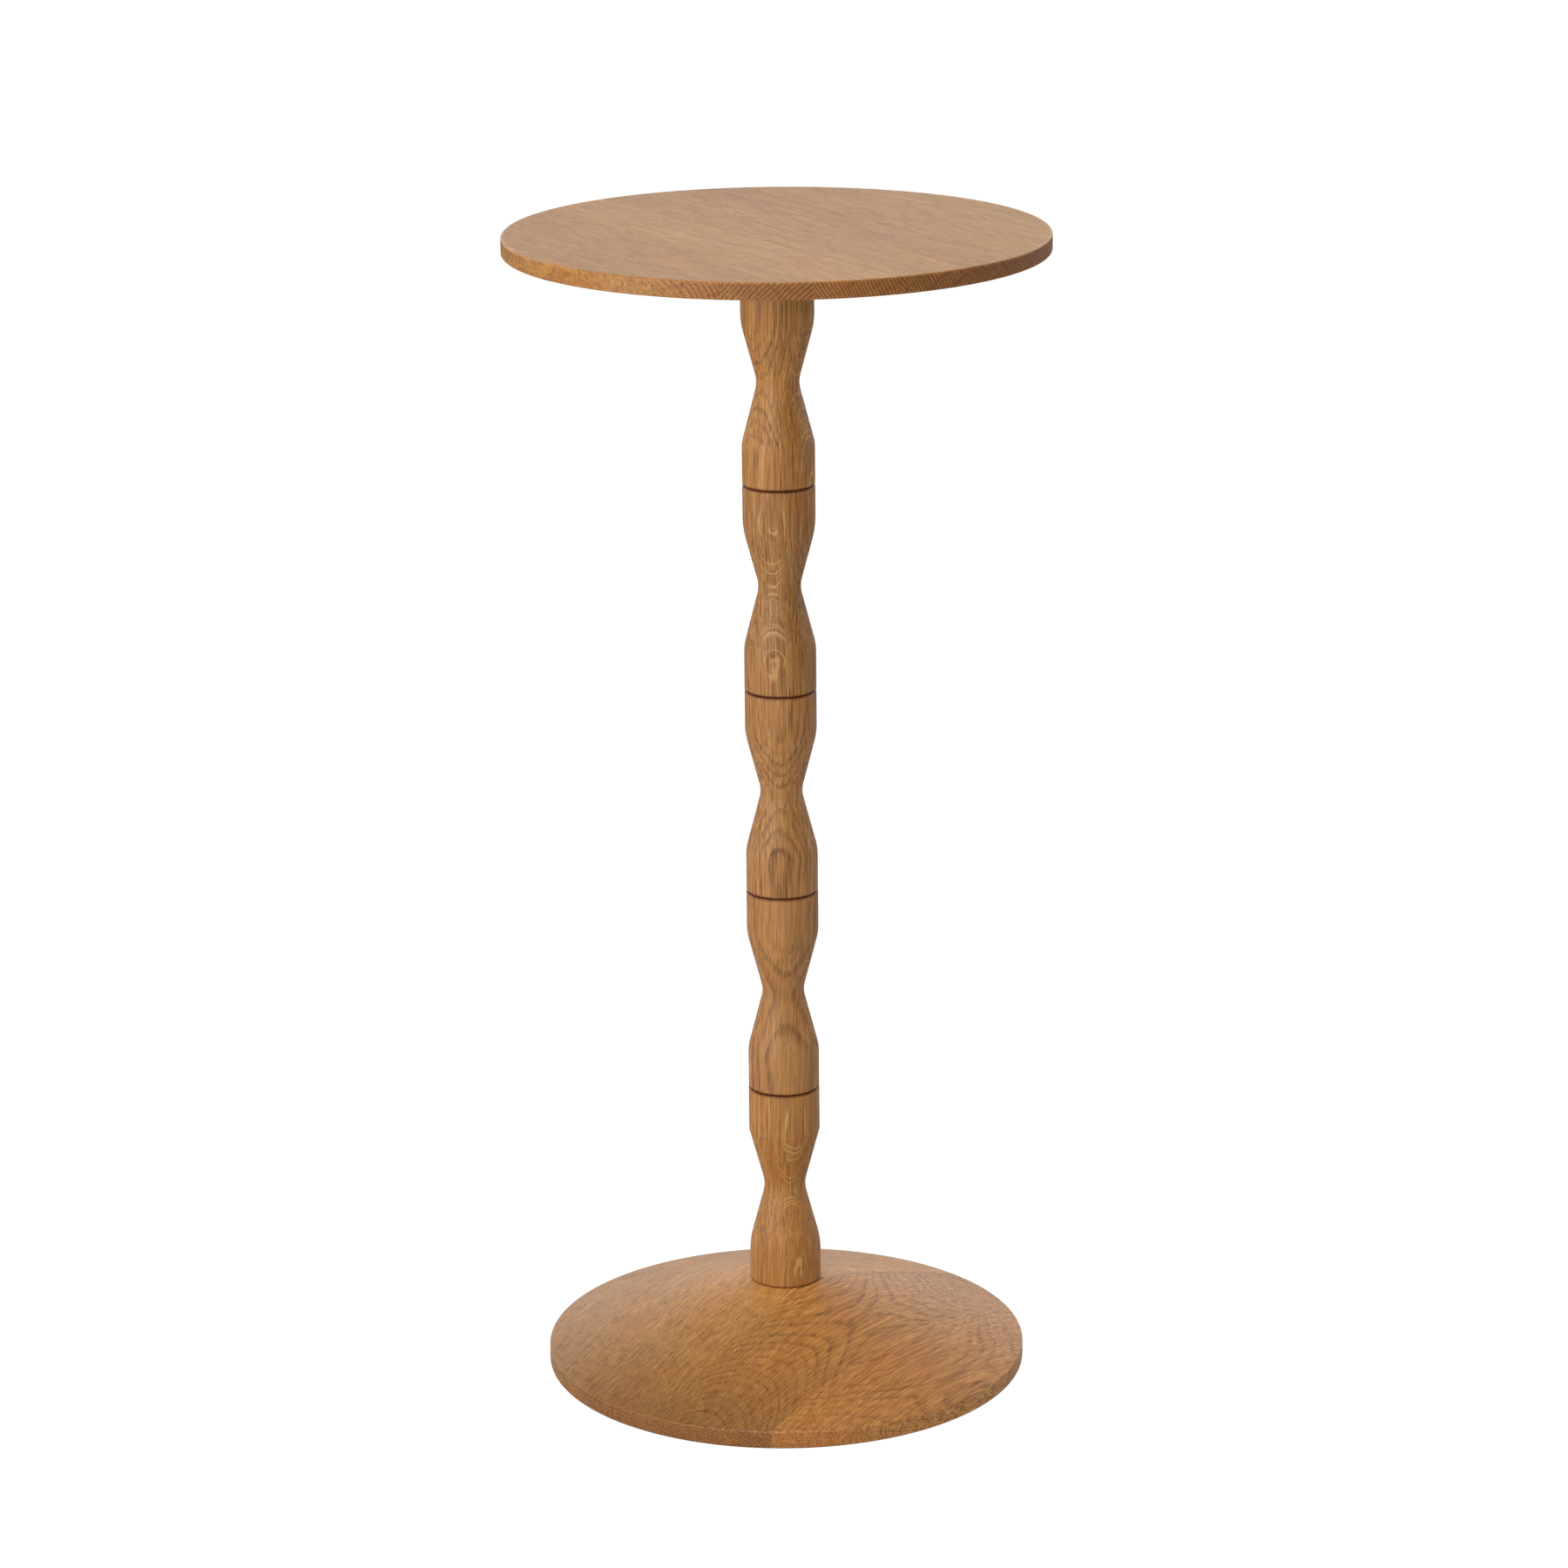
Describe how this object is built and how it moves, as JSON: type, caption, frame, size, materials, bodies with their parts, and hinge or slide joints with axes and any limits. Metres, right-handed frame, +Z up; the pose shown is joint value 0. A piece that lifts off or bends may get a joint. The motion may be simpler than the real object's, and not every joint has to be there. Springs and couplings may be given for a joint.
{
  "type": "turned pedestal stand",
  "caption": "Turned oak pedestal stand: a thin-edged round top on a column of waisted spindles screwed end to end, over a wide domed base.",
  "frame": {"origin": "on the floor, under the middle of the base, in the plane of the felt pads' lower faces", "axes": "+Z up along the column's axis; X and Y lie in the floor, and -Y is the side that faces the viewer"},
  "size_m": [0.3, 0.3, 0.658],
  "materials": {
    "oak_top": "oiled oak, satin, edge-glued boards with straight open grain",
    "oak_column": "oiled oak, satin, turned along the grain",
    "oak_base": "oiled oak, satin, edge-glued boards turned to a dome",
    "zinc_steel": "bright zinc-plated steel",
    "insert_brass": "plain turned brass",
    "wool_felt": "thin dark wool felt"
  },
  "bodies": {
    "root": {"top_disc": "oak_top", "top_flange": "zinc_steel", "flange_screw_1": "zinc_steel", "flange_screw_2": "zinc_steel", "flange_screw_3": "zinc_steel", "flange_screw_4": "zinc_steel", "spindle_1": "oak_column", "spindle_2": "oak_column", "spindle_3": "oak_column", "spindle_4": "oak_column", "spindle_5": "oak_column", "spindle_stud_1": "zinc_steel", "spindle_stud_2": "zinc_steel", "spindle_stud_3": "zinc_steel", "spindle_stud_4": "zinc_steel", "spindle_stud_5": "zinc_steel", "spindle_insert_1": "insert_brass", "spindle_insert_2": "insert_brass", "spindle_insert_3": "insert_brass", "spindle_insert_4": "insert_brass", "spindle_insert_5": "insert_brass", "base": "oak_base", "base_bolt": "zinc_steel", "base_washer": "zinc_steel", "felt_pad_1": "wool_felt", "felt_pad_2": "wool_felt", "felt_pad_3": "wool_felt", "felt_pad_4": "wool_felt"}
  },
  "joints": []
}
